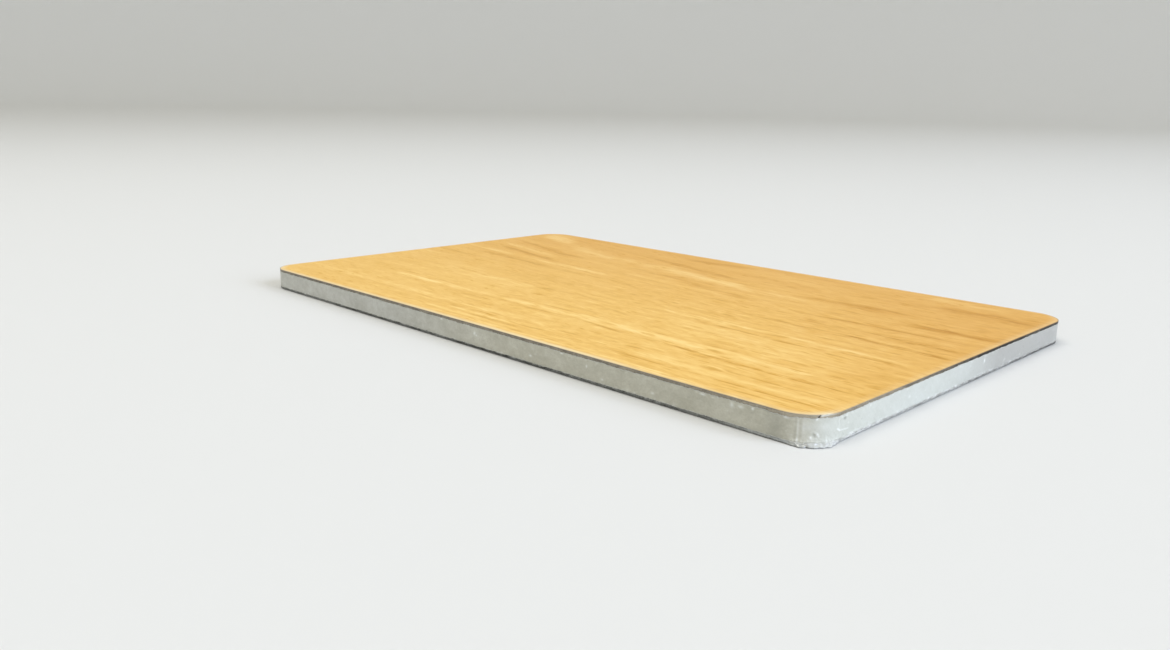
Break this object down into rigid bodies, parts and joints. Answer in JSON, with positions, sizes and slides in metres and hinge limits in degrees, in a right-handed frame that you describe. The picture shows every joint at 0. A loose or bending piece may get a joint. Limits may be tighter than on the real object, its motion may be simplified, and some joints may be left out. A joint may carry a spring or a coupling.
{
  "type": "aluminium composite panel",
  "caption": "Flat rectangular laminated cladding panel with rounded corners: wood-grain face film and thin aluminium skins bonded to a light grey mineral-filled plastic core.",
  "frame": {"origin": "centre of the panel's back face, which is the face it lies on", "axes": "+X along the long side and the wood grain, +Y along the short side, +Z out of the wood-grain face"},
  "size_m": [0.132, 0.083, 0.004],
  "materials": {
    "back_skin": "satin",
    "bond_film": "satin",
    "core": "matte",
    "face_skin": "satin",
    "wood_grain_film": "satin"
  },
  "bodies": {
    "root": {"back_skin": "back_skin", "back_bond_film": "bond_film", "core": "core", "face_bond_film": "bond_film", "face_skin": "face_skin", "wood_grain_film": "wood_grain_film"}
  },
  "joints": []
}
